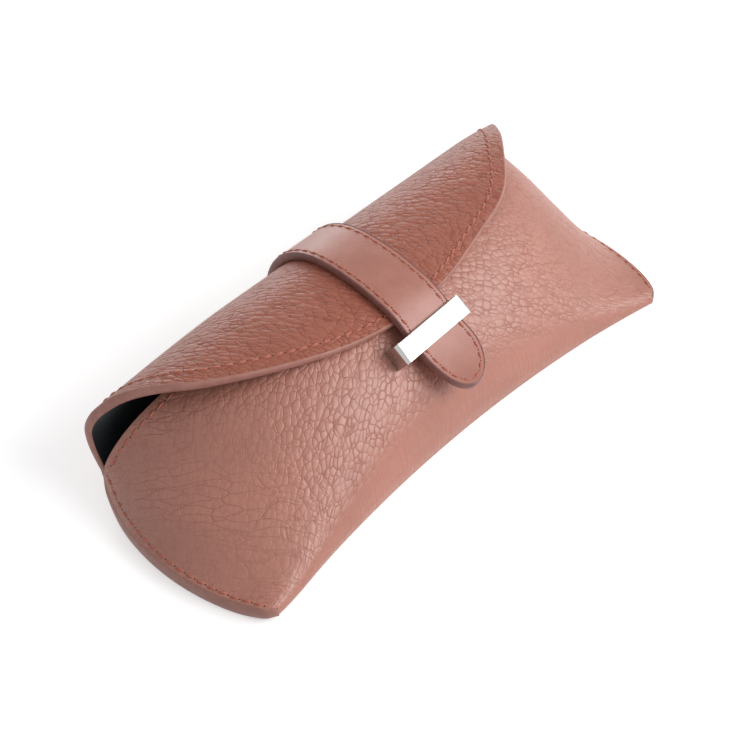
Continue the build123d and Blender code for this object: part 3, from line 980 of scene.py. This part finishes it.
def seen(tree):
    """1 where the camera looks, straight or by way of metal or glass, and 0 for other light."""
    path = node(tree, "ShaderNodeLightPath").outputs
    straight = math(tree, "MAXIMUM", path["Is Camera Ray"], path["Is Glossy Ray"])
    return math(tree, "MAXIMUM", straight, path["Is Transmission Ray"])


# %% [markdown]
# ## Grain, shared by the pebbled leathers
#
# Pebbled leather is drum-tumbled: the hide shrinks into small cushions with fine valleys between.
# Voronoi cells give both. One minus the squared distance to a cell's middle is a round dome that
# catches the light, and a narrow band along the cell edges is the valley. Bending the coordinates
# with noise before the cells stops them looking like tiles. The group takes the sheet's own UV map
# in metres, so the grain is the same size on every panel.

# %% Pebble grain group
FLOAT, VECTOR = "NodeSocketFloat", "NodeSocketVector"
grain = bpy.data.node_groups.new("Pebble grain", "ShaderNodeTree")
for key, kind, value in (("Vector", VECTOR, (0, 0, 0)), ("Cells per metre", FLOAT, 600.0),
                         ("Turn", FLOAT, 0.0), ("Stretch", FLOAT, 1.2)):
    socket = grain.interface.new_socket(name=key, in_out="INPUT", socket_type=kind)
    socket.default_value = value
for key in ("Height", "Valley mask", "Groove highlight mask", "Tint"):
    grain.interface.new_socket(name=key, in_out="OUTPUT", socket_type=FLOAT)
given, result = grain.nodes.new("NodeGroupInput").outputs, grain.nodes.new("NodeGroupOutput")

draw = node(grain, "ShaderNodeCombineXYZ", {0: math(grain, "DIVIDE", 1.0, given["Stretch"]),
                                            1: given["Stretch"], 2: 1.0}).outputs[0]
spot = vector(grain, "MULTIPLY", turn_by(grain, given["Vector"], given["Turn"]), draw)
spot = vector(grain, "SCALE", spot, given["Cells per metre"])
wander = vector(grain, "SUBTRACT", noise(grain, spot, 0.6, 1.0, "Color"), (0.5, 0.5, 0.5))
bent = vector(grain, "ADD", spot, vector(grain, "SCALE", wander, 0.6))
cells = node(grain, "ShaderNodeTexVoronoi", {"Vector": bent, "Scale": 1.0, "Randomness": 0.82})
pores = noise(grain, spot, 5.0, 3.0)
patch = noise(grain, spot, 0.45)
dome = math(grain, "SUBTRACT", 1.0, math(grain, "POWER", cells.outputs["Distance"], 2.0))
# The valley mask also marks where the leather's colour is painted darker, as painted shade.
valley = times(grain, mapped(grain, cell_edges(grain, bent, 1.0, 0.82), 0.0, 0.10, 1.0, 0.0),
              mapped(grain, patch, 0.35, 0.6, 0.35, 1.0))
# A finer net of shallow grooves, which the leather's colour paints paler, as a painted highlight.
groove_highlight = times(grain, mapped(grain, cell_edges(grain, bent, 1.7), 0.0, 0.06, 1.0, 0.0),
            mapped(grain, patch, 0.62, 0.40, 0.1, 0.8))
height = math(grain, "MULTIPLY_ADD", valley, -0.22, times(grain, dome, 0.90))
height = math(grain, "MULTIPLY_ADD", groove_highlight, -0.06, height)
height = math(grain, "MULTIPLY_ADD", pores, 0.10, height)
tint = node(grain, "ShaderNodeSeparateColor", {0: cells.outputs["Color"]}).outputs[0]
for key, value in (("Height", height), ("Valley mask", valley), ("Groove highlight mask", groove_highlight), ("Tint", tint)):
    grain.links.new(value, result.inputs[key])
print("grain group has", len(grain.nodes), "nodes")

# %% [markdown]
# ## Pebbled leather
#
# The colour is a terracotta brown. Its valleys are painted darker and a little redder, as painted
# shade, and a finer net of shallow grooves is painted paler, as a painted highlight. The front
# panel is stretched over padding: its cells are larger and drawn out towards the middle, so their
# direction is mirrored between left and right. They fade towards the two ends, where a net of long
# fine creases takes their place, painted darker as painted shade, and on the steep bottom side,
# where fine stripes do. The flap is tighter. One function makes both leathers from the same group.


# %% Pebbled leather material
def pebbled(name, cell_mm, turns, stretch, depth_mm, valley_shade, calm_ends, striped, gloss, colour):
    """Pebbled leather. turns gives the grain's direction left and right of the middle, calm_ends
    how much of it goes at the two ends, striped how far fine stripes replace it on the sides."""
    made, tree = material(name)
    spot, place = leather_uv(tree), node(tree, "ShaderNodeTexCoord").outputs
    x = node(tree, "ShaderNodeSeparateXYZ", {0: place["Object"]}).outputs[0]
    facing = node(tree, "ShaderNodeSeparateXYZ", {0: place["Normal"]}).outputs[2]
    end = math(tree, "MAXIMUM", mapped(tree, x, -0.036, -0.068), mapped(tree, x, 0.042, 0.070))
    side = times(tree, mapped(tree, facing, 0.60, 0.34), striped)
    drift = noise(tree, spot, 45.0)

    left, right = [node(tree, "ShaderNodeGroup", {
        "Vector": spot, "Cells per metre": 1000.0 / cell_mm, "Turn": radians(turn), "Stretch": stretch},
        node_tree=grain).outputs for turn in turns]
    to_right = mapped(tree, x, 0.0, 0.018)
    pebble, valley, groove_highlight, cell = (mixed(tree, to_right, left[key], right[key])
                                  for key in ("Height", "Valley mask", "Groove highlight mask", "Tint"))
    kept = math(tree, "MULTIPLY_ADD", end, -calm_ends, 1.0)
    kept = times(tree, kept, mapped(tree, drift, 0.25, 0.6, 0.7, 1.0))
    kept = times(tree, kept, math(tree, "MULTIPLY_ADD", side, -0.95, 1.0))

    wave = vector(tree, "SCALE", noise(tree, spot, 60.0, output="Color"), 0.009)
    wavy = vector(tree, "ADD", spot, wave)
    net = cell_edges(tree, stretch_by(tree, turn_by(tree, wavy, radians(-45)), (110.0, 430.0, 1.0)))
    crease = times(tree, mapped(tree, net, 0.0, 0.07, 1.0, 0.0),
                  math(tree, "MULTIPLY_ADD", end, 0.95 * calm_ends, 0.03))
    crease = times(tree, crease, mapped(tree, drift, 0.35, 0.6, 0.2, 1.0))
    stripe = times(tree, noise(tree, stretch_by(tree, spot, (1500.0, 110.0, 1.0)), 1.0), side)
    height = times(tree, pebble, kept)
    height = math(tree, "MULTIPLY_ADD", crease, -0.5, height)
    height = math(tree, "MULTIPLY_ADD", stripe, 0.5, height)

    plain = (*colour, 1)
    pale = (*(c * 1.15 for c in colour), 1)
    # A paler colour: a painted highlight on the fine grooves, and the tone of the pale side stripes.
    highlight_and_stripe_pale = (colour[0] * 1.35, colour[1] * 1.45, colour[2] * 1.45, 1)
    # A darker, redder colour: painted shade in the valleys and the creases.
    painted_shade = (colour[0] * 0.66, colour[1] * 0.50, colour[2] * 0.46, 1)
    base = blended(tree, mapped(tree, drift, 0.3, 0.7), plain, pale)
    for share, shade in ((times(tree, cell, times(tree, kept, 0.3)), pale),
                         (times(tree, groove_highlight, 0.25), highlight_and_stripe_pale),
                         (times(tree, valley, times(tree, kept, valley_shade)), painted_shade),
                         (times(tree, crease, 0.6), painted_shade),
                         (times(tree, mapped(tree, stripe, 0.4, 0.65), 0.16), highlight_and_stripe_pale)):
        base = blended(tree, share, base, shade)
    principled(tree, base, mapped(tree, valley, 0.0, 1.0, 0.40, 0.6, "LINEAR"),
               bumped(tree, height, 1.0, depth_mm), gloss,
               {"Sheen Weight": 0.12, "Sheen Roughness": 0.4, "Sheen Tint": (1.0, 0.9, 0.88, 1)})
    return made


front_skin = pebbled("Pebbled leather, front", cell_mm=1.95, turns=(40, -45), stretch=1.3, depth_mm=0.26,
                     valley_shade=0.52, calm_ends=0.62, striped=1.0, gloss=0.72,
                     colour=(0.380, 0.150, 0.108))
flap_skin = pebbled("Pebbled leather, flap", cell_mm=1.8, turns=(-48, -48), stretch=1.4, depth_mm=0.36,
                    valley_shade=0.70, calm_ends=0.1, striped=0.0, gloss=0.42,
                    colour=(0.312, 0.092, 0.055))
print("pebbled leathers made")

# %% [markdown]
# ## Smooth strap leather, edge paint, lining and thread
#
# The strap is a smooth hide with fine wrinkles, their lines painted darker as painted shade. Edge
# paint is a soft satin coat: a little paler than the leather round the pouch and the flap, and on
# the strap a darker copy, which is painted shade on the strap's sides. The lining is a blue-black
# microsuede, nearly matt, with a faint sheen; its colour is set darker than the cloth itself, as
# painted shade for the inside of the pouch. The thread is a twisted, waxed cord, so its bump is
# a fine slanted stripe.

# %% Strap and edge paint
strap_skin, tree = material("Smooth leather, strap")
spot = leather_uv(tree)
cloud = noise(tree, spot, 130.0, 3.0)
wrinkle = mapped(tree, cell_edges(tree, spot, 1500.0), 0.0, 0.12)
height = math(tree, "MULTIPLY_ADD", wrinkle, 0.5, times(tree, noise(tree, spot, 5200.0), 0.5))
base = blended(tree, mapped(tree, cloud, 0.35, 0.65), (0.365, 0.128, 0.090, 1), (0.405, 0.155, 0.112, 1))
# The wrinkle lines are painted darker: painted shade in the creases.
base = blended(tree, mapped(tree, wrinkle, 0.0, 1.0, 0.2, 0.0), base, (0.24, 0.08, 0.056, 1))
principled(tree, base, 0.42, bumped(tree, height, 0.5, 0.05), 0.75)


def painted(name, low, high):
    """Edge paint: a satin coat, cloudy between two colours."""
    made, tree = material(name)
    cloud = noise(tree, object_spot(tree), 400.0, 3.0)
    base = blended(tree, mapped(tree, cloud, 0.35, 0.65), low, high)
    principled(tree, base, 0.42, bumped(tree, cloud, 0.4, 0.06), 0.4)
    return made


edge_paint = painted("Edge paint", (0.36, 0.160, 0.128, 1), (0.41, 0.190, 0.155, 1))
# The strap's edge paint is a darker copy of the same coat: painted shade on the strap's sides.
shaded_strap_paint = painted("Edge paint, strap, painted shade", (0.22, 0.092, 0.080, 1), (0.27, 0.118, 0.102, 1))
print("strap leather and two edge paints made")

# %% Lining and thread
suede, tree = material("Microsuede lining")
spot = leather_uv(tree)
nap, brush = noise(tree, spot, 3500.0, 4.0), noise(tree, spot, 60.0)
# These colours are darker than the cloth itself: partly its own blue-black, partly painted shade for the
# inside of the pouch.
base = blended(tree, mapped(tree, nap, 0.3, 0.7), (0.003, 0.005, 0.006, 1), (0.008, 0.012, 0.015, 1))
base = blended(tree, mapped(tree, brush, 0.45, 0.6, 0.0, 0.5), base, (0.012, 0.018, 0.022, 1))
principled(tree, base, 0.9, bumped(tree, nap, 0.6, 0.05), 0.2,
           {"Sheen Weight": 0.12, "Sheen Roughness": 0.5})

thread_cord, tree = material("Waxed thread")
twist = node(tree, "ShaderNodeTexWave", {"Vector": object_spot(tree), "Scale": 900.0, "Distortion": 1.0},
             bands_direction="DIAGONAL").outputs["Fac"]
base = blended(tree, twist, (0.36, 0.100, 0.066, 1), (0.53, 0.185, 0.126, 1))
principled(tree, base, 0.5, bumped(tree, twist, 0.5, 0.06), 0.35)

# The dark dimples at the needle holes are painted shade in the holes.
hole_shade, tree = material("Needle hole")
cloud = noise(tree, object_spot(tree), 2500.0)
principled(tree, blended(tree, cloud, (0.10, 0.028, 0.020, 1), (0.17, 0.050, 0.036, 1)), 0.8, None, 0.1)
print("made", suede.name, "and", thread_cord.name)

# %% [markdown]
# ## Metal and hidden parts
#
# The loop is chrome plated: almost a mirror, with the faintest polishing marks. The plate under
# the leather is plain sheet steel. It is hidden, but it is finished for a view with layers off.


# %% Metal materials
def metal(name, colour, roughness, marks):
    made, tree = material(name)
    line = noise(tree, stretch_by(tree, object_spot(tree), (60.0, 2500.0, 2500.0)), 1.0)
    rough = mapped(tree, line, 0.3, 0.7, roughness, roughness + marks, "LINEAR")
    principled(tree, colour, rough, bumped(tree, line, marks, 0.01), 0.5, {"Metallic": 1.0})
    return made


chrome = metal("Polished chrome", (0.52, 0.51, 0.50, 1), 0.08, 0.05)
steel = metal("Sheet steel", (0.45, 0.45, 0.46, 1), 0.35, 0.2)
print("metals", chrome.name, "and", steel.name)


# %% Give each piece its finish
def wear(piece, finish):
    piece.data.materials.clear()
    piece.data.materials.append(finish)


for piece, finish in ((front_leather, front_skin), (back_leather, flap_skin), (strap_top, strap_skin),
                      (strap_back, strap_skin), (front_lining, suede), (back_lining, suede),
                      (loop_bar, chrome), (frame["nodes"]["loop_plate"], steel)):
    wear(piece, finish)
edges = [o for o in bpy.data.objects if "_edge" in o.name and "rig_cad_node" not in o]
threads = [o for o in bpy.data.objects if "_row" in o.name and "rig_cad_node" not in o]
for piece in edges:
    # The strap's bead takes the darker copy, painted shade on its sides.
    wear(piece, shaded_strap_paint if piece is strap_bead else edge_paint)
for piece in threads:
    wear(piece, thread_cord)
for piece in needle_holes:
    wear(piece, hole_shade)
print(len(edges), "beads,", len(threads), "rows,", len(needle_holes), "rows of holes")

# %% [markdown]
# ## Floor, light and camera
#
# The case lies on a white table under big soft lamps, so its shadow is faint and close. The floor
# is a plain white surface that keeps the shadow. For the camera and for reflections it is lifted
# to white with Light Path, which puts no extra light on the case. Far out it is quite white, like
# the sky, so that no horizon shows. The camera looks down from the case's front left through a
# long lens, so the case shows little perspective.

# %% Floor
deselect()
bpy.ops.mesh.primitive_plane_add(size=4, location=(0, 0, -0.00005))
floor = bpy.context.object
floor.name = "floor"
table, tree = material("White table")
matt = node(tree, "ShaderNodeBsdfDiffuse", {"Color": (0.8, 0.8, 0.8, 1)})
looked = seen(tree)
glow = node(tree, "ShaderNodeEmission", {"Color": (1, 1, 1, 1), "Strength": times(tree, looked, 0.50)})
near = node(tree, "ShaderNodeAddShader", {0: matt.outputs[0], 1: glow.outputs[0]})
distance = node(tree, "ShaderNodeVectorMath", {0: object_spot(tree)}, operation="LENGTH").outputs["Value"]
far = times(tree, looked, mapped(tree, distance, 0.25, 0.6))
white = node(tree, "ShaderNodeEmission", {"Color": (1, 1, 1, 1), "Strength": 1.0})
close(tree, node(tree, "ShaderNodeMixShader", {0: far, 1: near.outputs[0], 2: white.outputs[0]}))
floor.data.materials.append(table)
print("floor", floor.name, "with", len(tree.nodes), "nodes in its material")

# %% Light
world = bpy.data.worlds.new("Studio")
bpy.context.scene.world = world
world.use_nodes = True
tree = world.node_tree
tree.nodes.clear()
strength = math(tree, "MULTIPLY_ADD", seen(tree), 0.58, 0.42)
sky = node(tree, "ShaderNodeBackground", {"Color": (1, 1, 1, 1), "Strength": strength})
node(tree, "ShaderNodeOutputWorld", {"Surface": sky.outputs[0]})


def softbox(name, place, size, power):
    """A rectangular lamp that shines on the case from place."""
    data = bpy.data.lights.new(name, "AREA")
    data.shape, data.energy = "RECTANGLE", power
    data.size, data.size_y = size
    lamp = bpy.data.objects.new(name, data)
    bpy.context.collection.objects.link(lamp)
    lamp.location = place
    lamp.rotation_euler = (Vector((0, 0, 0.02)) - lamp.location).to_track_quat("-Z", "Y").to_euler()


softbox("key", (0.44, -0.68, 0.54), (0.8, 0.55), 8.0)
softbox("rim", (0.50, 0.80, 0.26), (0.9, 0.4), 3.6)
print("lamps", [lamp.name for lamp in bpy.data.lights])


# %% Camera
def camera_at(place, azimuth, elevation, roll, lens):
    """A camera that looks down by elevation, turned by azimuth from +Y and rolled a little."""
    a, e, r = radians(azimuth), radians(elevation), radians(roll)
    right = Vector((cos(a), sin(a), 0))
    ahead = Vector((-sin(a) * cos(e), cos(a) * cos(e), -sin(e)))
    up = right.cross(ahead)
    right, up = right * cos(r) + up * sin(r), up * cos(r) - right * sin(r)
    turned = Matrix((right, up, -ahead)).transposed().to_4x4()
    data = bpy.data.cameras.new("photo_camera")
    data.lens, data.sensor_width, data.clip_start = lens, 36, 0.01
    camera = bpy.data.objects.new("photo_camera", data)
    bpy.context.collection.objects.link(camera)
    camera.matrix_world = Matrix.Translation(place) @ turned
    return camera


bpy.context.scene.camera = camera_at((-0.2478, -0.2346, 0.3338), -46.22, 43.94, -1.9, 85.74)
bpy.context.scene.view_settings.view_transform = "Standard"
print("camera at", [round(c, 3) for c in bpy.context.scene.camera.location], "m")
